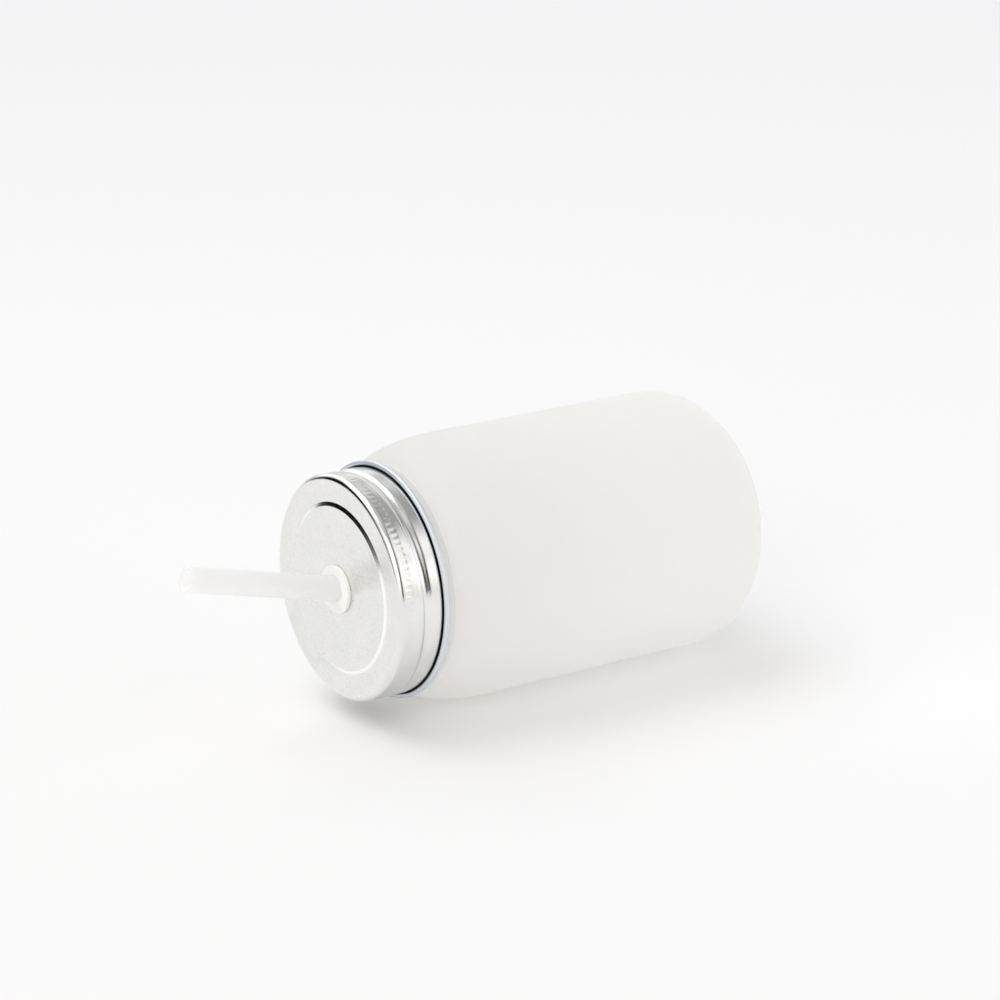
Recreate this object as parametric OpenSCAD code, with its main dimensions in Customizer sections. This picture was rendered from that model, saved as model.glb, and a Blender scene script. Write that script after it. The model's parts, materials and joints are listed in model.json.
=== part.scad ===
// Frosted drinking jar: a screw-top preserving jar with a one-piece tinplate lid,
// a silicone grommet in the middle of the lid and a drinking straw that leans in it.
// The jar stands on its base: z = 0 is the table and +Z runs up through the lid.
// All sizes are in millimetres.

/* [Jar] */
// Outer diameter of the glass body
body_d = 82.6; // [76:0.1:90]
// Height of the closed jar, from the table to the lid's face
closed_h = 141.5; // [130:0.5:160]
// Thickness of the glass wall
glass_t = 3; // [2.5:0.1:3.4]
// Height of the rounded shoulder
shoulder_h = 25.5; // [20:0.5:30]
// How far the shoulder draws in from the body to the neck
shoulder_in = 8.3; // [7:0.1:9]
// Height of the rounded heel below the straight wall
heel_h = 20.1; // [16:0.1:24]
// How far the heel's curve draws in towards the axis
heel_in = 26.5; // [20:0.5:28]
// Depth of the hollow under the base
push_up = 2.4; // [1:0.1:3]

/* [Neck] */
// Outer diameter of the neck under the thread
neck_d = 66.4; // [65:0.1:67]
// Diameter of the open mouth
mouth_d = 60; // [58:0.1:61]
// Rise of the thread in one turn
pitch = 5; // [4.5:0.1:5.5]
// How far the glass thread stands out of the neck
thread_h = 1; // [0.8:0.05:1.1]

/* [Lid] */
// Outer diameter of the lid's side wall
lid_d = 70; // [69:0.1:71]
// Height of the lid from its face to the middle of the curled edge
lid_h = 15.6; // [14:0.1:17]
// Thickness of the tinplate
tin_t = 0.5; // [0.3:0.05:0.6]
// Diameter of the curled bottom edge
curl_d = 73.6; // [72:0.1:75]
// Radius of the wire-like curl itself
curl_r = 0.95; // [0.8:0.05:1.1]
// Diameter of the raised panel in the middle of the face
panel_d = 51.4; // [46:0.1:54]
// Number of grip flutes around the lid
flutes = 110; // [60:2:160]

/* [Straw and grommet] */
// Outer diameter of the straw
straw_d = 7.8; // [7.4:0.1:8]
// Wall of the straw
straw_t = 0.7; // [0.5:0.05:0.9]
// Lean of the straw away from upright, in degrees
lean = 14; // [8:0.5:14]
// Length of straw that stands out of the lid
straw_out = 54; // [40:1:70]
// Length of straw below the lid's face
straw_in = 131.5; // [120:0.5:131.5]
// Diameter of the grommet's two flanges
grommet_d = 15; // [14:0.1:17]
// Thickness of each flange
flange_t = 1.3; // [1:0.1:1.5]

/* [Hidden] */

body_r = body_d / 2;
neck_r = neck_d / 2;
mouth_r = mouth_d / 2;
lid_r = lid_d / 2;
panel_r = panel_d / 2;

// levels up the axis
heel_top = heel_h - 1.4;              // the heel's curve is cut off by the bearing ring
lid_under = closed_h - lid_h;         // middle of the curled edge
panel_z = closed_h - 0.1;             // raised panel in the lid's face
gasket_top = closed_h - 0.95;
gasket_t = 1.1;
rim_z = gasket_top - gasket_t - 0.05; // top of the glass, just under the gasket
bead_z = lid_under - 2.6;             // middle of the ring under the lid
bead_r = 1.6;
shoulder_z = lid_under + lid_h - 43.7;// where the shoulder springs from the wall
shoulder_r = body_r - shoulder_in;

// thread: the lid's ridge hooks under the glass thread, both right-handed
ridge_z = closed_h - 9.2;             // the ridge's middle at 180 degrees
thread_z = ridge_z + 1.85;            // the glass thread's middle at 180 degrees
ridge_r = neck_r + 0.3;               // innermost reach of the lid's ridge
step = 6;                             // degrees from one ring of a thread to the next

hole_r = 5.6;                         // hole in the lid
grommet_r = grommet_d / 2;
straw_r = straw_d / 2;
bore_gap = 0.06;                      // clearance of the straw in the grommet

// points on an elliptical arc in the half-plane (radius, height)
function arc(r0, z0, a, b, from, to, n) =
    [for (i = [0:n]) let (t = from + (to - from) * i / n) [r0 + a * cos(t), z0 + b * sin(t)]];

// one closed ring of a thread: four corners, wide at the wall and narrow at the tip
function thread_ring(t, z, wall, tip, w_wall, w_tip) =
    [for (c = [[wall, -w_wall], [tip, -w_tip], [tip, w_tip], [wall, w_wall]])
        [c[0] * cos(t), c[0] * sin(t), z + c[1]]];

// a right-handed screw thread that tapers away at both ends
module thread(from, to, z_at_180, wall, tip, w_wall, w_tip) {
    n = (to - from) / step;
    rings = [for (i = [0:n]) let (
        t = from + i * step,
        fade = min(1, 0.15 + min(i, n - i) / 4)
    ) thread_ring(t, z_at_180 + pitch * (t - 180) / 360, wall,
                  wall + (tip - wall) * fade, w_wall * fade, w_tip * fade)];
    points = [for (r = rings) for (p = r) p];
    sides = [for (i = [0:n - 1]) for (k = [0:3]) let (
        a = 4 * i + k, b = 4 * i + (k + 1) % 4
    ) each [[a, a + 4, b], [b, a + 4, b + 4]]];
    last = 4 * n;
    ends = [[0, 1, 2], [0, 2, 3], [last, last + 2, last + 1], [last, last + 3, last + 2]];
    polyhedron(points, concat(sides, ends));
}

// blown soda-lime glass, satin all over, with the screw thread moulded on the neck
module jar() {
    heel_r = body_r - heel_in;
    heel_cut = -asin(heel_top / heel_h);
    inner_r = body_r - glass_t;
    floor_z = 6;
    color("whitesmoke") {
        rotate_extrude($fn = 144)
            polygon(concat(
                arc(0, -1, 17, push_up + 1, 90, 24, 6),
                [[17.5, 0], [heel_r + heel_in * cos(heel_cut) - 0.6, 0]],
                arc(heel_r, heel_top, heel_in, heel_h, heel_cut + 2, 0, 14),
                arc(shoulder_r, shoulder_z, shoulder_in, shoulder_h, 0, 73, 14),
                arc(neck_r + 0.6, bead_z, bead_r, bead_r, -32, 104, 8),
                arc(neck_r - 1, rim_z - 1, 1, 1, 0, 90, 4),
                arc(mouth_r + 0.8, rim_z - 0.8, 0.8, 0.8, 90, 180, 4),
                arc(mouth_r, shoulder_z, inner_r - mouth_r, shoulder_h - 3, 90, 0, 12),
                arc(heel_r, heel_top, heel_in - glass_t, heel_top - floor_z, 0, -90, 12),
                [[0, floor_z + 0.6]]
            ));
        thread(-60, 396, thread_z, neck_r - 0.4, neck_r + thread_h, 1.15, 0.5);
    }
}

// soft sealing ring that lies in the lid, against the rim of the glass
module gasket() {
    ring_in = mouth_r + 0.3;
    ring_out = lid_r - tin_t - 0.5;
    color("ivory")
        translate([0, 0, gasket_top - gasket_t])
            difference() {
                cylinder(h = gasket_t, r = ring_out, $fn = 120);
                translate([0, 0, -1]) cylinder(h = gasket_t + 2, r = ring_in, $fn = 120);
            }
}

// pressed tinplate: dished rim, raised panel, fluted side, rolled thread, curled edge
module lid() {
    edge_r = 1.3;
    edge_z = closed_h - edge_r;
    flute_top = closed_h - 2.3;
    flute_h = 2.5;
    flute_d = 0.2;
    waist_r = lid_r - flute_d - 0.08;  // the wall under the flutes, just inside their valleys
    outer = concat(
        [[hole_r, panel_z], [panel_r, panel_z],
         [panel_r + 0.8, panel_z - 0.5], [panel_r + 1.6, panel_z - 0.5]],
        arc(lid_r - edge_r, edge_z, edge_r, edge_r, 90, 0, 5),
        [[waist_r, flute_top + 0.1], [waist_r, flute_top - flute_h - 0.1],
         [lid_r, flute_top - flute_h - 0.5], [lid_r, lid_under + 2.6],
         [lid_r - 0.1, lid_under + 1.4], [lid_r + 0.5, lid_under]]);
    inner = concat(
        [[lid_r + 0.15, lid_under], [lid_r - tin_t, lid_under + 1.4],
         [lid_r - tin_t, edge_z]],
        arc(lid_r - edge_r, edge_z, edge_r - tin_t, edge_r - tin_t, 0, 90, 4),
        [[panel_r + 1.6, panel_z - 0.5 - tin_t], [panel_r + 0.6, panel_z - 0.5 - tin_t],
         [panel_r - 0.2, panel_z - tin_t], [hole_r, panel_z - tin_t]]);
    color("silver") {
        rotate_extrude($fn = 144) polygon(concat(outer, inner));
        rotate_extrude($fn = 144)
            translate([curl_d / 2 - curl_r, lid_under]) circle(r = curl_r, $fn = 24);
        translate([0, 0, flute_top - flute_h])
            difference() {
                linear_extrude(height = flute_h)
                    polygon([for (i = [0:2 * flutes - 1]) let (
                        t = i * 180 / flutes, r = lid_r - (i % 2) * flute_d
                    ) [r * cos(t), r * sin(t)]]);
                translate([0, 0, -1]) cylinder(h = flute_h + 2, r = waist_r - 0.05, $fn = 144);
            }
        thread(30, 390, ridge_z, lid_r - tin_t + 0.2, ridge_r, 1.5, 0.5);
    }
}

// silicone grommet that clips into the hole and grips the straw
module grommet() {
    color("ivory")
        difference() {
            union() {
                translate([0, 0, panel_z + 0.03]) cylinder(h = flange_t, r = grommet_r, $fn = 72);
                translate([0, 0, panel_z - tin_t - flange_t])
                    cylinder(h = tin_t + 2 * flange_t, r = hole_r - 0.06, $fn = 72);
                translate([0, 0, panel_z - tin_t - 0.03 - flange_t])
                    cylinder(h = flange_t, r = grommet_r - 0.6, $fn = 72);
            }
            leaning() translate([0, 0, -10]) cylinder(h = 20, r = straw_r + bore_gap, $fn = 72);
        }
}

// the straw's own axis: through the middle of the panel, its top leaning to -Y
module leaning() {
    translate([0, 0, panel_z]) rotate([lean, 0, 0]) children();
}

// stiff translucent plastic straw with its two ends eased
module straw() {
    ease = 0.2;
    seam = 11;  // turns the tube about its own axis, so that its seam line faces no other edge
    inside_r = straw_r - straw_t;
    color("white")
        leaning()
            rotate([0, 0, seam]) rotate_extrude($fn = 72)
                polygon([
                    [inside_r, -straw_in], [straw_r - ease, -straw_in],
                    [straw_r, ease - straw_in], [straw_r, straw_out - ease],
                    [straw_r - ease, straw_out], [inside_r, straw_out]
                ]);
}

jar();
gasket();
lid();
grommet();
straw();
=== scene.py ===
# %% [markdown]
# Frosted drinking jar with a straw lid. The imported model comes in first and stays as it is: it says
# where each piece sits and how it moves. Everything that is seen is then made around it, in metres and
# in the same upright frame, with the jar standing on z = 0. Measuring the model before adding anything
# gives the box that the finished pieces have to stay inside.

# %% Load the frame and measure it
import json
import math

import bmesh
import bpy
import numpy as np
from mathutils import Matrix, Vector


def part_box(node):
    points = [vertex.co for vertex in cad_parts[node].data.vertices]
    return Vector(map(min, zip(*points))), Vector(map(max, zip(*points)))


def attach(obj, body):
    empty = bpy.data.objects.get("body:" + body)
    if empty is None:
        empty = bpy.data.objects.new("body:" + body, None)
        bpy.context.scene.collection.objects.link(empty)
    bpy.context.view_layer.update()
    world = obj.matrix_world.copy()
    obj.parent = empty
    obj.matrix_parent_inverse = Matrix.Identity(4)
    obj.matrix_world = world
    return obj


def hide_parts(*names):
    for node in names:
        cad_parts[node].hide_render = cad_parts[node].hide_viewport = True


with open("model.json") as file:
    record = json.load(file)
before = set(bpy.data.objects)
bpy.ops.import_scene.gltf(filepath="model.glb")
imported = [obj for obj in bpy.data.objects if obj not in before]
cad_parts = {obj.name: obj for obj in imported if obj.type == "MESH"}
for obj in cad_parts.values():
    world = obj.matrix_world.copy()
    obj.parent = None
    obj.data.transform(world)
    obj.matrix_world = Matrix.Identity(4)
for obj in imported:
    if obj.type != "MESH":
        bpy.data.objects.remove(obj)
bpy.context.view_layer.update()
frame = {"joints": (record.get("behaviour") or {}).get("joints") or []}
MM = 0.001

# %% [markdown]
# The pieces take their driving sizes from the model's own nodes. Reading them here keeps one truth: if
# the jar changes, the meshes follow. Heights are measured up the jar's axis.

# %% Driving sizes, from the model
jar_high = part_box("jar")[1]
lid_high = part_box("lid")[1]
gasket_low, gasket_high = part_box("gasket")
grommet_low, grommet_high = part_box("grommet")

body_r = jar_high.x
rim_z = jar_high.z
closed_h = lid_high.z
curl_r = lid_high.x
print("jar", round(body_r / MM, 2), "mm radius, lid face at", round(closed_h / MM, 2), "mm")

# %% [markdown]
# A jar, a lid, a washer and a straw are all turned shapes, so one helper spins a closed outline around
# the axis. It could be done with the Screw modifier, but a helper that writes the points itself can
# also push them in and out on the way round, which is how grip flutes and a rolled screw thread are put
# into the sheet without any booleans. The outline is a closed loop of (radius, height) points, so every
# spun piece is a closed solid with real thickness.

# %% Helpers that draw outlines and spin them
def arc(centre_r, centre_z, wide, tall, start, stop, count):
    """Points on an elliptical arc, angles in degrees, in the half-plane (radius, height)."""
    turn = np.radians(np.linspace(start, stop, count + 1))
    return [(centre_r + wide * math.cos(t), centre_z + tall * math.sin(t)) for t in turn]


def refine(path, longest):
    """The same path with points added until no stretch is longer than that."""
    out = [path[0]]
    for a, b in zip(path, path[1:]):
        parts = max(1, math.ceil(math.dist(a, b) / longest))
        out += [tuple(p + (q - p) * k / parts for p, q in zip(a, b)) for k in range(1, parts + 1)]
    return out


def sheet_outline(middle, thick):
    """A closed outline around a path, for sheet metal: half the thickness to each side."""
    p = np.array(middle)
    along = np.gradient(p, axis=0)
    along /= np.linalg.norm(along, axis=1)[:, None]
    side = np.stack([-along[:, 1], along[:, 0]], 1) * thick / 2
    return [tuple(q) for q in p + side] + [tuple(q) for q in (p - side)[::-1]]


def spin(name, outline, around, press=None):
    """Spins a closed outline about Z. press(r, z, angle) may move the points of the solid, in arrays."""
    loop = np.array(outline)
    turn = np.linspace(0, 2 * math.pi, around, endpoint=False)
    r = np.repeat(loop[None, :, 0], around, 0)
    z = np.repeat(loop[None, :, 1], around, 0)
    angle = np.repeat(turn[:, None], len(loop), 1)
    if press:
        r = press(r, z, angle)
    points = np.stack([r * np.cos(angle), r * np.sin(angle), z], 2).reshape(-1, 3)
    k, n = len(loop), around
    i, j = np.meshgrid(np.arange(n), np.arange(k), indexing="ij")
    here, over = i * k + j, ((i + 1) % n) * k + j
    here_up, over_up = i * k + (j + 1) % k, ((i + 1) % n) * k + (j + 1) % k
    quads = np.stack([here, over, over_up, here_up], 2).reshape(-1, 4)
    mesh = bpy.data.meshes.new(name)
    mesh.from_pydata(points.tolist(), [], quads.tolist())
    mesh.validate()
    piece = bpy.data.objects.new(name, mesh)
    bpy.context.scene.collection.objects.link(piece)
    return piece


def close_and_smooth(piece, sharp=40):
    """Welds doubled points, turns every face outwards, and shades smooth except over sharp edges."""
    bm = bmesh.new()
    bm.from_mesh(piece.data)
    bmesh.ops.remove_doubles(bm, verts=bm.verts, dist=1e-7)
    bmesh.ops.dissolve_degenerate(bm, edges=bm.edges, dist=1e-8)
    bmesh.ops.recalc_face_normals(bm, faces=bm.faces)
    open_edges = sum(1 for e in bm.edges if not e.is_manifold)
    bm.to_mesh(piece.data)
    bm.free()
    piece.data.shade_smooth()
    piece.data.set_sharp_from_angle(angle=math.radians(sharp))
    print(piece.name, len(piece.data.vertices), "points, open edges:", open_edges)
    return piece


def show(piece, body, node):
    """The piece moves with a body and stands for its node."""
    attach(piece, body)
    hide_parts(node)
    return piece


# %% [markdown]
# A rolled screw thread is a groove that climbs once around for every turn of the screw. On the lid it
# is pressed into the sheet, and on the glass the matching rib stands out of the neck. Both are the same
# climbing line, so one function gives how near a point is to that line: 1 on the middle of the groove,
# falling to 0 at its edges and at both ends.

# %% The climbing line of the thread
PITCH = 5 * MM
GROOVE_Z = closed_h - 9.4 * MM      # height of the groove at half a turn
# The glass rib sits this far above the groove, so that the groove pulls down on it.
RIB_ABOVE = 1.85 * MM


def smooth(t):
    t = np.clip(t, 0, 1)
    return t * t * (3 - 2 * t)


def near_thread(z, angle, middle, half_width, start, stop, fade):
    """How near each point is to the line, from 0 to 1. start, stop and fade are in degrees."""
    found = np.zeros_like(z)
    for whole in range(-2, 3):
        degrees = np.degrees(angle) + 360 * whole
        line = middle + PITCH * (degrees - 180) / 360
        across = np.clip(np.abs(z - line) / half_width, 0, 1)
        ends = smooth((degrees - start) / fade) * smooth((stop - degrees) / fade)
        found = np.maximum(found, (0.5 + 0.5 * np.cos(math.pi * across)) * ends)
    return found


print("thread climbs", PITCH / MM, "mm a turn")

# %% [markdown]
# The jar is one moulding: a thick base with a hollow under it, a wide rounded heel, a straight wall, a
# rounded shoulder, a ring to grip just under the lid, and a neck with the thread on it. It is drawn as
# one closed outline, outside first and then back down the inside, so that the glass has its real 3 mm
# wall. Light then passes through two skins, as it does in the real jar, and the heel and the lip look
# as thick as they are.

# %% Spin the glass jar
GLASS = 3 * MM
HEEL_H, HEEL_IN = 20.1 * MM, 26.5 * MM
SHOULDER_H, SHOULDER_IN = 25.5 * MM, 8.3 * MM
NECK_R, MOUTH_R = 33.2 * MM, 30 * MM
heel_z = HEEL_H - 1.4 * MM
heel_r = body_r - HEEL_IN
shoulder_z = closed_h - 43.7 * MM
shoulder_r = body_r - SHOULDER_IN
ring_z = closed_h - 18.2 * MM
floor_z = 6 * MM
heel_cut = -math.degrees(math.asin(heel_z / HEEL_H))
foot_r = heel_r + HEEL_IN * math.cos(math.radians(heel_cut))

jar_outline = (
    arc(0, -1 * MM, 17 * MM, 3.4 * MM, 89.5, 24, 16)
    + arc(17.4 * MM, 1.2 * MM, 1.2 * MM, 1.2 * MM, -125, -90, 5)
    + arc(foot_r - 2.2 * MM, 2 * MM, 2.4 * MM, 2 * MM, -90, -62, 5)
    + arc(heel_r, heel_z, HEEL_IN, HEEL_H, heel_cut + 3, 0, 40)
    + arc(shoulder_r, shoulder_z, SHOULDER_IN, SHOULDER_H, 0, 71, 40)
    + arc(NECK_R + 0.6 * MM, ring_z, 1.6 * MM, 1.6 * MM, -26, 104, 18)
    + refine([(NECK_R, ring_z + 1.7 * MM), (NECK_R, rim_z - 1.2 * MM)], 0.25 * MM)
    + arc(NECK_R - 1 * MM, rim_z - 1 * MM, 1 * MM, 1 * MM, 10, 90, 8)
    + arc(MOUTH_R + 0.8 * MM, rim_z - 0.8 * MM, 0.8 * MM, 0.8 * MM, 95, 180, 8)
    + arc(MOUTH_R, shoulder_z, body_r - GLASS - MOUTH_R, SHOULDER_H - 3 * MM, 88, 0, 40)
    + arc(heel_r, heel_z, HEEL_IN - GLASS, heel_z - floor_z, 0, -90, 40)
    + [(0.15 * MM, floor_z + 0.6 * MM)]
)


def glass_thread(r, z, angle):
    rib = near_thread(z, angle, GROOVE_Z + RIB_ABOVE, 1.15 * MM, -60, 396, 24)
    return r + np.where((r > NECK_R - 0.3 * MM) & (z > ring_z + 1.6 * MM), rib, 0) * 1 * MM


jar = close_and_smooth(spin("jar_glass", jar_outline, 288, glass_thread))
show(jar, "jar", "jar")

# %% [markdown]
# The lid is one pressing out of thin tinplate. A press dishes the rim, raises the panel in the middle,
# flutes the side for grip, and last a roller cuts the thread groove and curls the raw edge into a bead
# so that it can't cut a finger. It is drawn the way it is made: a single line through the middle of the
# sheet, thickened by half to each side. The flutes and the groove push the sheet in while it is spun,
# so they show inside the lid too.

# %% Draw the sheet of the lid
TIN = 0.45 * MM
LID_R = 35 * MM
LID_H = 15.6 * MM                   # from the face to the middle of the curl
PANEL_R = 25.7 * MM
RING_OUT_R = 32.4 * MM              # where the dished ring around the panel meets the rounded edge
HOLE_R = 5.6 * MM
EDGE_R = 1.9 * MM                   # how round the edge of the face is
FLUTES = 110
STEPS = 8                           # points around each flute
BEAD_R = 0.85 * MM                  # of the curl, outside
half = TIN / 2
curl_z = closed_h - LID_H
mid_r = LID_R - half
roll = BEAD_R - half


def under_face(depth):
    """Height of the middle of the sheet where its top is that many millimetres below the highest point."""
    return closed_h - depth * MM - half


lid_middle = (
    refine([(HOLE_R, under_face(0.1)), (PANEL_R - 0.6 * MM, under_face(0.1))], 1.5 * MM)
    + arc(PANEL_R - 0.5 * MM, under_face(0.6), 0.5 * MM, 0.5 * MM, 85, 66, 5)
    + arc(PANEL_R + 0.95 * MM, under_face(0.34), 0.3 * MM, 0.3 * MM, 246, 274, 4)
    + refine([(PANEL_R + 1.4 * MM, under_face(0.6)), (RING_OUT_R, under_face(0.12))], 0.8 * MM)
    + arc(mid_r - EDGE_R + half, closed_h - EDGE_R, EDGE_R - half, EDGE_R - half, 88, 0, 20)
    + refine([(mid_r, closed_h - EDGE_R - 0.1 * MM), (mid_r, curl_z + 1.9 * MM)], 0.2 * MM)
    + arc(mid_r - 1.3 * MM, curl_z + 1.6 * MM, 1.3 * MM, 1.5 * MM, -5, -55, 8)
    + [(mid_r - 0.5 * MM, curl_z + 0.15 * MM)]
    + arc(curl_r - BEAD_R, curl_z, roll, roll, 205, 498, 36)
)
lid_outline = sheet_outline(lid_middle, TIN)
print("lid sheet", len(lid_middle), "points,", round(TIN / MM, 2), "mm thick")

# %% [markdown]
# Pressing the side: the flutes are a narrow row of shallow upright ripples just under the face. Below
# them the wall is plain, with the screw thread rolled into it as one soft climbing groove. Both are
# moves of the points while the sheet is spun, so the shine of the metal follows them and nothing has to
# be painted on.

# %% Press the flutes and the thread, then spin the lid
FLUTE_TOP, FLUTE_END = closed_h - 2.1 * MM, closed_h - 5.0 * MM
FLUTE_FADE, FLUTE_DEEP = 0.9 * MM, 0.07 * MM
GROOVE_DEEP = 0.6 * MM


def press_side(r, z, angle):
    side = (r > LID_R - 1.4 * MM) & (z < closed_h - 1.3 * MM) & (z > curl_z + 1.6 * MM)
    band = smooth((FLUTE_TOP - z) / FLUTE_FADE) * smooth((z - FLUTE_END) / FLUTE_FADE)
    ripple = (0.5 - 0.5 * np.cos(FLUTES * angle)) * FLUTE_DEEP * band
    groove = near_thread(z, angle, GROOVE_Z, 2.2 * MM, 20, 400, 30) * GROOVE_DEEP
    return r - np.where(side, ripple + groove, 0)


lid = close_and_smooth(spin("lid_tinplate", lid_outline, FLUTES * STEPS, press_side))
show(lid, "lid", "lid")

# %% [markdown]
# The sealing ring is a flat washer of soft white plastisol that is poured into the lid and cured there.
# Seen from below it has a slightly crowned face, with the faint groove that the rim of the glass
# presses into it.

# %% Spin the sealing ring
gasket_r = gasket_high.x
gasket_in = MOUTH_R + 0.3 * MM
gasket_outline = (
    arc(gasket_r - 0.3 * MM, gasket_high.z - 0.3 * MM, 0.3 * MM, 0.3 * MM, 0, 90, 5)
    + arc(gasket_in + 0.3 * MM, gasket_high.z - 0.3 * MM, 0.3 * MM, 0.3 * MM, 90, 180, 5)
    + arc(gasket_in + 0.45 * MM, gasket_low.z + 0.45 * MM, 0.45 * MM, 0.45 * MM, 180, 270, 6)
    + arc((gasket_in + gasket_r) / 2, gasket_low.z, 1.1 * MM, 0.12 * MM, 180, 0, 10)
    + arc(gasket_r - 0.45 * MM, gasket_low.z + 0.45 * MM, 0.45 * MM, 0.45 * MM, 270, 360, 6)
)
gasket = close_and_smooth(spin("gasket_ring", gasket_outline, 180))
show(gasket, "sealing_ring", "gasket")

# %% [markdown]
# The straw leans in the lid, so its own axis is tilted. The lean is read from the model's slide joint,
# which runs along the straw, and one matrix carries anything drawn upright onto that axis.

# %% Find the straw's axis
slide = next(j for j in frame["joints"] if j["name"] == "straw_slide")
straw_axis = Vector(slide["axis"]).normalized()
panel_z = closed_h - 0.1 * MM
tip_over = Vector((0, 0, 1)).rotation_difference(straw_axis).to_matrix().to_4x4()
lean = Matrix.Translation((0, 0, panel_z)) @ tip_over
print("straw leans", round(math.degrees(straw_axis.angle(Vector((0, 0, 1)))), 2), "degrees")

# %% [markdown]
# The grommet is moulded silicone: two flanges with a waist between them that grips the lid's sheet, and
# a hole that grips the straw. Silicone gives, so where the real straight hole meets a leaning straw it
# simply leans too. The outline is spun upright and its hole is then sheared to follow the straw, while
# the outside stays round.

# %% Spin the grommet and lean its hole
grommet_r = grommet_high.x
lower_t = panel_z - TIN - grommet_low.z
STRAW_R = 3.9 * MM
hole = STRAW_R / straw_axis.z + 0.05 * MM
soft = 0.25 * MM
grommet_outline = (
    arc(hole + 0.3 * MM, grommet_high.z - 0.3 * MM, 0.3 * MM, 0.3 * MM, 180, 90, 5)
    + arc(grommet_r - soft, grommet_high.z - soft, soft, soft, 90, 0, 8)
    + arc(grommet_r - soft, panel_z + 0.03 * MM + soft, soft, soft, 0, -90, 8)
    + [(HOLE_R - 0.06 * MM, panel_z + 0.03 * MM), (HOLE_R - 0.06 * MM, panel_z - TIN - 0.12 * MM)]
    + arc(grommet_r - 0.6 * MM - soft, grommet_low.z + lower_t - soft - 0.12 * MM, soft, soft, 90, 0, 8)
    + arc(grommet_r - 0.6 * MM - soft, grommet_low.z + soft, soft, soft, 0, -90, 8)
    + arc(hole + 0.3 * MM, grommet_low.z + 0.3 * MM, 0.3 * MM, 0.3 * MM, 270, 180, 5)
)
grommet = spin("grommet_silicone", grommet_outline, 144)
shear = math.tan(straw_axis.angle(Vector((0, 0, 1))))
for v in grommet.data.vertices:
    near = 1 - float(smooth((math.hypot(v.co.x, v.co.y) - hole - 0.3 * MM) / (1.2 * MM)))
    v.co.x *= 1 - near * (1 - straw_axis.z)
    v.co.y -= near * shear * (v.co.z - panel_z)
close_and_smooth(grommet)
show(grommet, "grommet", "grommet")

# %% [markdown]
# The straw is an extruded tube, cut and lightly fire-polished, so its two lips are round and not sharp.
# It is drawn upright with its real wall, because light passes through that wall, and then laid onto the
# leaning axis.

# %% Spin the straw and lean it
STRAW_WALL = 0.7 * MM
STRAW_OUT, STRAW_IN = 54 * MM, 131.5 * MM
lip = STRAW_WALL / 2
straw_outline = (
    arc(STRAW_R - lip, STRAW_OUT - lip, lip, lip, 0, 180, 8)
    + refine([(STRAW_R - 2 * lip, STRAW_OUT - 2 * lip), (STRAW_R - 2 * lip, 2 * lip - STRAW_IN)], 8 * MM)
    + arc(STRAW_R - lip, lip - STRAW_IN, lip, lip, 180, 360, 8)
    + refine([(STRAW_R, 2 * lip - STRAW_IN), (STRAW_R, STRAW_OUT - 2 * lip)], 8 * MM)
)
straw = spin("straw_tube", straw_outline, 96)
straw.data.transform(lean)
close_and_smooth(straw)
show(straw, "straw", "straw")

# %% [markdown]
# Materials. Every colour is written as the hex value a paint chart would give and turned into the
# linear light that the renderer works in. One helper adds a node with its settings and its links, so
# each recipe below reads as a list. A few nodes have two inputs of the same name, and those are called
# in0 and in1, by their place.

# %% Helpers for materials
def hex_colour(code):
    """An sRGB hex value as linear red, green, blue and alpha."""
    parts = [int(code[i:i + 2], 16) / 255 for i in (1, 3, 5)]
    return [c / 12.92 if c <= 0.04045 else ((c + 0.055) / 1.055) ** 2.4 for c in parts] + [1]


def add(material, kind, settings=None, **links):
    """Adds a node, sets its properties and unlinked inputs, and links the inputs that are given by name."""
    node = material.node_tree.nodes.new("ShaderNode" + kind)
    by_name = {"in" + str(place): socket for place, socket in enumerate(node.inputs)}
    by_name.update({socket.name: socket for socket in reversed(node.inputs)})
    for name, value in (settings or {}).items():
        if name in by_name:
            by_name[name].default_value = value
        else:
            setattr(node, name, value)
    for name, source in links.items():
        material.node_tree.links.new(source, by_name[name.replace("_", " ")])
    return node


def new_material(name):
    """An empty material."""
    material = bpy.data.materials.new(name)
    material.use_nodes = True
    material.node_tree.nodes.clear()
    return material


def blend(material, share, first, second):
    """Mixes two shaders; share is how much of the second one shows, as a number or a node."""
    both = add(material, "MixShader", None, in1=first.outputs[0], in2=second.outputs[0])
    if isinstance(share, float):
        both.inputs[0].default_value = share
    else:
        material.node_tree.links.new(share.outputs[0], both.inputs[0])
    return both


def finish_with(material, shader):
    """Makes the shader the material's surface."""
    return add(material, "OutputMaterial", None, Surface=shader.outputs[0])


# %% [markdown]
# Satin-etched soda-lime glass. The finished jar is dipped in acid, which leaves the whole surface
# covered in pits a few thousandths of a millimetre across. Every pit throws some light back and some
# light on into the jar, so the jar looks like mist: white, soft-edged, with only broad pale highlights.
# One rough glass shader would let too much of the table show through, so two are blended: a rough skin
# that is a quarter clear and otherwise white, and a translucent one that only passes light on. The pits
# are too fine to see, so a grain about half a millimetre wide stands in for their slight cloudiness.

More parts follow.
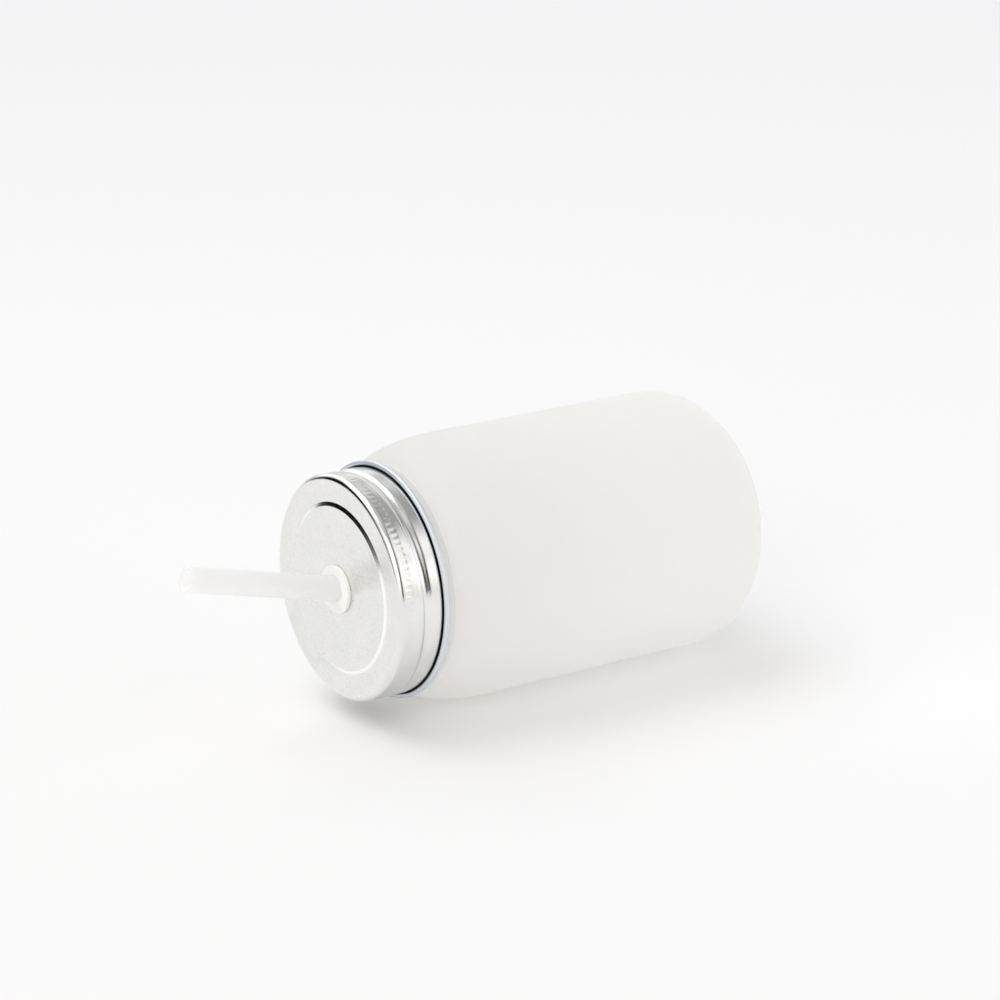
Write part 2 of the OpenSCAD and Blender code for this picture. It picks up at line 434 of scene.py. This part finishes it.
# %% Satin-etched soda-lime glass
CLOUD, PITS = 9 * MM, 0.6 * MM
MIST = 0.58                         # share of the light that the frost passes on
etched = new_material("satin_etched_soda_lime_glass")
place = add(etched, "TexCoord")
cloud = add(etched, "TexNoise", {
    "Scale": 1 / CLOUD, "Detail": 3, "Roughness": 0.5,
}, Vector=place.outputs["Object"])
pits = add(etched, "TexNoise", {"Scale": 1 / PITS, "Detail": 2}, Vector=place.outputs["Object"])
rough = add(etched, "MapRange", {"To Min": 0.46, "To Max": 0.54}, Value=cloud.outputs[0])
bump = add(etched, "Bump", {"Strength": 0.04, "Distance": 0.05 * MM}, Height=pits.outputs[0])
glass = add(etched, "BsdfPrincipled", {
    "Base Color": hex_colour("#FFFFFF"),
    "Transmission Weight": 0.25,
    "IOR": 1.5,
}, Roughness=rough.outputs[0], Normal=bump.outputs[0])
mist = add(etched, "BsdfTranslucent", {"Color": hex_colour("#FFFFFE")})
finish_with(etched, blend(etched, MIST, glass, mist))
jar.data.materials.append(etched)
print("frost lets", MIST, "of the light through")

# %% [markdown]
# Tinplate. The lid is thin steel sheet with a skin of tin, stamped and rolled. Where the sheet stays
# flat it keeps the dull, finely grained look it left the mill with, and wherever a tool has bent it, it
# is rubbed smoother. How far the surface leans away from flat therefore drives its roughness.

# %% Tinplate: grain, and where the tools have rubbed it
GRAIN, PATCH = 0.6 * MM, 6 * MM
tinplate = new_material("rolled_tinplate")
place = add(tinplate, "TexCoord")
where = add(tinplate, "SeparateXYZ", None, Vector=place.outputs["Object"])
lean_z = add(tinplate, "SeparateXYZ", None, Vector=place.outputs["Normal"])
grain = add(tinplate, "TexNoise", {
    "Scale": 1 / GRAIN, "Detail": 3, "Roughness": 0.7,
}, Vector=place.outputs["Object"])
patch = add(tinplate, "TexNoise", {"Scale": 1 / PATCH, "Detail": 2}, Vector=place.outputs["Object"])
flat_rough = add(tinplate, "MapRange", {
    "From Min": 0.95, "From Max": 0.99, "To Min": 0.15, "To Max": 0.27,
}, Value=lean_z.outputs["Z"])
uneven = add(tinplate, "MapRange", {"To Min": -0.05, "To Max": 0.05}, Value=grain.outputs[0])
on_curl = add(tinplate, "MapRange", {
    "From Min": curl_z + 1.3 * MM, "From Max": curl_z + 0.9 * MM, "To Min": 0, "To Max": 1,
}, Value=where.outputs["Z"])
burnish = add(tinplate, "MixRGB", {
    "Color2": (0.55, 0.55, 0.55, 1),
}, Fac=on_curl.outputs[0], Color1=flat_rough.outputs[0])
rough = add(tinplate, "Math", {"operation": "ADD"}, in0=burnish.outputs[0], in1=uneven.outputs[0])
bump = add(tinplate, "Bump", {"Strength": 0.5, "Distance": 0.03 * MM}, Height=grain.outputs[0])
print("grain", GRAIN / MM, "mm wide")

# %% [markdown]
# The tinplate's colour. Most of it is the warm grey of tin in faint patches, and the curl is tinted
# slightly blue, a painted reflection of cool light. In the gap between the wall and the curl no light
# gets out again, and the metal there is painted nearly black as painted shade. The bend around the
# raised panel is painted white, a painted highlight.

# %% Tinplate: its colours, with painted shade, reflection and highlight
tone = add(tinplate, "MixRGB", {
    "Color1": hex_colour("#E6E6E4"), "Color2": hex_colour("#F2F2F0"),
}, Fac=patch.outputs[0])
# Painted reflection: the curl is tinted blue for the cool light it reflects.
painted_cool_reflection = add(tinplate, "MixRGB", {
    "Color2": hex_colour("#E2E7EC"),
}, Fac=on_curl.outputs[0], Color1=tone.outputs[0])
flat_place = add(tinplate, "VectorMath", {
    "operation": "MULTIPLY", "in1": (1, 1, 0),
}, in0=place.outputs["Object"])
from_axis = add(tinplate, "VectorMath", {"operation": "LENGTH"}, in0=flat_place.outputs[0])
# Painted shade: the metal in the gap between the wall and the curl is coloured nearly black.
inside_curl = add(tinplate, "MapRange", {
    "From Min": LID_R + 0.55 * MM, "From Max": LID_R + 0.3 * MM, "To Min": 0, "To Max": 1,
}, Value=from_axis.outputs["Value"])
gap_shade_mask = add(tinplate, "Math", {"operation": "MULTIPLY"}, in0=inside_curl.outputs[0], in1=on_curl.outputs[0])
painted_gap_shade = add(tinplate, "MixRGB", {
    "Color2": hex_colour("#3A3A3A"),
}, Fac=gap_shade_mask.outputs[0], Color1=painted_cool_reflection.outputs[0])
# Painted highlight: the bend around the raised panel is coloured pure white.
bent = add(tinplate, "MapRange", {
    "From Min": 0.98, "From Max": 0.93, "To Min": 0, "To Max": 1,
}, Value=lean_z.outputs["Z"])
in_panel = add(tinplate, "MapRange", {
    "From Min": PANEL_R + 0.8 * MM, "From Max": PANEL_R + 0.4 * MM, "To Min": 0, "To Max": 1,
}, Value=from_axis.outputs["Value"])
painted_bend_highlight_mask = add(tinplate, "Math", {"operation": "MULTIPLY"}, in0=bent.outputs[0], in1=in_panel.outputs[0])
painted_bend_highlight = add(tinplate, "MixRGB", {
    "Color2": hex_colour("#FFFFFF"),
}, Fac=painted_bend_highlight_mask.outputs[0], Color1=painted_gap_shade.outputs[0])
metal = add(tinplate, "BsdfPrincipled", {
    "Metallic": 1,
}, Base_Color=painted_bend_highlight.outputs[0], Roughness=rough.outputs[0], Normal=bump.outputs[0])
finish_with(tinplate, metal)
lid.data.materials.append(tinplate)
print("tinplate nodes", len(tinplate.node_tree.nodes))

# %% [markdown]
# The two soft parts. Plastisol cures with a dull, slightly greasy white. Silicone has the same softness
# but lets some light into itself, so its thin edge glows.

# %% Plastisol and silicone
plastisol = new_material("cured_white_plastisol")
place = add(plastisol, "TexCoord")
mottle = add(plastisol, "TexNoise", {"Scale": 1 / (2 * MM), "Detail": 3}, Vector=place.outputs["Object"])
tone = add(plastisol, "MixRGB", {
    "Color1": hex_colour("#E6E2D8"), "Color2": hex_colour("#EFECE4"),
}, Fac=mottle.outputs[0])
ring_skin = add(plastisol, "BsdfPrincipled", {"Roughness": 0.5, "IOR": 1.5}, Base_Color=tone.outputs[0])
finish_with(plastisol, ring_skin)
gasket.data.materials.append(plastisol)

silicone = new_material("moulded_silicone")
place = add(silicone, "TexCoord")
mottle = add(silicone, "TexNoise", {"Scale": 1 / (1.5 * MM), "Detail": 3}, Vector=place.outputs["Object"])
tone = add(silicone, "MixRGB", {
    "Color1": hex_colour("#FAF7F3"), "Color2": hex_colour("#FDFCFA"),
}, Fac=mottle.outputs[0])
grommet_skin = add(silicone, "BsdfPrincipled", {
    "Roughness": 0.42, "IOR": 1.41,
    "Subsurface Weight": 0.2, "Subsurface Scale": 1 * MM, "Subsurface Radius": (1, 0.95, 0.92),
}, Base_Color=tone.outputs[0])
finish_with(silicone, grommet_skin)
grommet.data.materials.append(silicone)
print("soft parts", plastisol.name, silicone.name)

# %% [markdown]
# Polypropylene, extruded. The straw is natural, unpigmented plastic: milky, with light inside the wall,
# and only a soft shine. As with the glass, a white skin is blended with a translucent one, so that it
# glows but isn't clear.

# %% Natural polypropylene
STRAW_GLOW = 0.6                    # share of the light that the wall passes on
polypropylene = new_material("extruded_polypropylene")
place = add(polypropylene, "TexCoord")
drawn = add(polypropylene, "TexNoise", {"Scale": 1 / (1.2 * MM), "Detail": 2}, Vector=place.outputs["Object"])
rough = add(polypropylene, "MapRange", {"To Min": 0.3, "To Max": 0.42}, Value=drawn.outputs[0])
straw_skin = add(polypropylene, "BsdfPrincipled", {
    "Base Color": hex_colour("#FFFFFF"),
    "IOR": 1.49,
    "Specular IOR Level": 0.3,
}, Roughness=rough.outputs[0])
straw_glow = add(polypropylene, "BsdfTranslucent", {"Color": hex_colour("#FFFFFF")})
finish_with(polypropylene, blend(polypropylene, STRAW_GLOW, straw_skin, straw_glow))
straw.data.materials.append(polypropylene)
print("straw wall passes on", STRAW_GLOW, "of the light")

# %% [markdown]
# The stage. The jar is shown lying on its side on a white table, while the model itself stands upright.
# So the table is turned instead: it is a plane beside the jar that just touches the wall, and "up" in
# the picture is the way out of that plane. Its white is painted a little lighter near the jar than far
# away and falls off slowly, a painted pool of soft light. A plane seen from behind would hide the jar
# in other views, so its back is made clear.

# %% The table the jar lies on
up = Vector((0, -1, 0))             # up, as the lying jar sees it
to_base = Vector((0, 0, -1))        # along the jar, from lid to base
across = Vector((1, 0, 0))
lid_centre = Vector((0, 0, closed_h))
TABLE, FADE = 6.0, 1.6              # metres
table_mesh = bpy.data.meshes.new("table")
edges = ((-1, -1), (1, -1), (1, 1), (-1, 1))
corners = [to_base * a * TABLE + across * b * TABLE - up * body_r for a, b in edges]
table_mesh.from_pydata([tuple(c) for c in corners], [], [(0, 1, 2, 3)])
table = bpy.data.objects.new("table", table_mesh)
bpy.context.scene.collection.objects.link(table)
if table_mesh.polygons[0].normal.dot(up) < 0:
    table_mesh.flip_normals()

paper = new_material("matt_white_table")
side = add(paper, "NewGeometry")
place = add(paper, "TexCoord")
# Painted pool of light: the table's white is lightest around this point and fades over FADE metres.
painted_light_centre = lid_centre - up * body_r + to_base * -0.12 + across * 0.05
away = add(paper, "VectorMath", {"operation": "DISTANCE", "in1": painted_light_centre}, in0=place.outputs["Object"])
fade = add(paper, "MapRange", {"From Min": 0, "From Max": FADE}, Value=away.outputs["Value"])
tone = add(paper, "MixRGB", {
    "Color1": hex_colour("#FBFBFB"), "Color2": hex_colour("#F0F0F2"),
}, Fac=fade.outputs[0])
white = add(paper, "BsdfPrincipled", {"Roughness": 0.9, "Specular IOR Level": 0}, Base_Color=tone.outputs[0])
clear = add(paper, "BsdfTransparent")
from_behind = add(paper, "Math", {"operation": "ADD", "in1": 0}, in0=side.outputs["Backfacing"])
finish_with(paper, blend(paper, from_behind, white, clear))
table_mesh.materials.append(paper)
print("table touches the wall at", round(body_r / MM, 1), "mm")

# %% [markdown]
# The camera. It looks down at the table by about 17 degrees from a metre away, with the jar's axis
# turned about 35 degrees out of the picture plane. A long lens keeps the far end of the jar almost as
# large as the near end. The three directions of the picture are written down first, then the camera is
# backed off from the middle of the lid.

# %% Aim the camera
LOOK_DOWN = math.radians(17.355)
TURNED = math.radians(34.897)
AWAY = 1.0
AIM_RIGHT, AIM_UP = 48.97 * MM, 26.80 * MM      # how far off the middle of the lid the lens is aimed
forward_flat = (to_base * math.sin(TURNED) + across * math.cos(TURNED))
picture_right = (to_base * math.cos(TURNED) - across * math.sin(TURNED)).normalized()
picture_in = (forward_flat * math.cos(LOOK_DOWN) - up * math.sin(LOOK_DOWN)).normalized()
picture_up = picture_right.cross(picture_in)
camera_place = lid_centre - picture_in * AWAY + picture_right * AIM_RIGHT + picture_up * AIM_UP

lens = bpy.data.cameras.new("camera")
lens.sensor_width = 36
lens.lens = 119.41
lens.clip_end = 50
camera = bpy.data.objects.new("camera", lens)
bpy.context.scene.collection.objects.link(camera)
turned = Matrix((picture_right, picture_up, -picture_in)).transposed().to_4x4()
camera.matrix_world = Matrix.Translation(camera_place) @ turned
bpy.context.scene.camera = camera
print("camera at", [round(c, 4) for c in camera_place])

# %% [markdown]
# The light. The white set of a studio is a ring of softboxes and white cards with dark gaps between
# them, and metal shows every gap. The cards stand in rings around the jar. Each ring is an elevation,
# the half-width of its cards, and how bright the card in each direction is: 0 degrees is the right of
# the picture, 90 is behind the jar, 180 the left and 270 the camera's side. The gap low on the left
# draws the black line along the raised panel. The cards are far away, so the table stays evenly lit,
# and they fade out softly at their edges, as cloth does.

# %% Hang the cards
RINGS = [
    (8, 26, {0: 1.1, 30: 1.3, 60: 1.3, 90: 0.7, 120: 0.6, 210: 0.2, 240: 1.0, 270: 1.0, 330: 0.9}),
    (32, 28, {0: 0.8, 60: 0.4, 90: 0.4, 120: 0.9, 210: 0.6, 240: 1.0, 270: 1.1, 330: 0.4}),
    (58, 32, {0: 0.2, 45: 0.2, 90: 0.2, 135: 0.9, 180: 2.1, 270: 0.5}),
    (90, 34, {0: 0.4}),
]
WARM, COOL = hex_colour("#FFFBF6")[:3], hex_colour("#FEFEFF")[:3]

flat_right, flat_in = picture_right, forward_flat.normalized()
world = bpy.data.worlds.new("studio")
bpy.context.scene.world = world
world.use_nodes = True
world.node_tree.nodes.clear()
place = add(world, "TexCoord")


def towards(azimuth, elevation):
    """The direction of a card, from two angles in degrees."""
    a, e = math.radians(azimuth), math.radians(elevation)
    return (flat_right * math.cos(a) + flat_in * math.sin(a)) * math.cos(e) + up * math.sin(e)


def is_warm(azimuth, elevation):
    """The low cards on the camera's side are the warmer cloth."""
    return 200 < azimuth < 340 and elevation < 45


cards = [
    (azimuth, elevation, wide, level)
    for elevation, wide, ring in RINGS
    for azimuth, level in ring.items()
]
total = None
for azimuth, elevation, wide, level in cards:
    facing = add(world, "VectorMath", {
        "operation": "DOT_PRODUCT", "in1": towards(azimuth, elevation),
    }, in0=place.outputs["Generated"])
    card = add(world, "MapRange", {
        "interpolation_type": "SMOOTHSTEP",
        "From Min": math.cos(math.radians(wide)), "From Max": 1, "To Max": level,
    }, Value=facing.outputs["Value"])
    colour = WARM if is_warm(azimuth, elevation) else COOL
    cloth = add(world, "VectorMath", {"operation": "SCALE", "in0": colour}, Scale=card.outputs[0])
    if total:
        total = add(world, "VectorMath", {"operation": "ADD"}, in0=cloth.outputs[0], in1=total.outputs[0])
    else:
        total = cloth
sky = add(world, "Background", {"Strength": 1.0}, Color=total.outputs[0])
add(world, "OutputWorld", None, Surface=sky.outputs[0])
print("cards", len(cards))

# %% [markdown]
# The picture is shown with the plain Standard transform, so that a white table stays white. Light in a
# frosted white jar bounces many times before it comes out, and cutting it off early turns the jar grey,
# so more bounces are allowed than usual.

# %% Show plain colours and let light bounce
BOUNCES = 24
bpy.context.scene.view_settings.view_transform = "Standard"
for kind in ("max", "diffuse", "transmission"):
    setattr(bpy.context.scene.cycles, kind + "_bounces", BOUNCES)
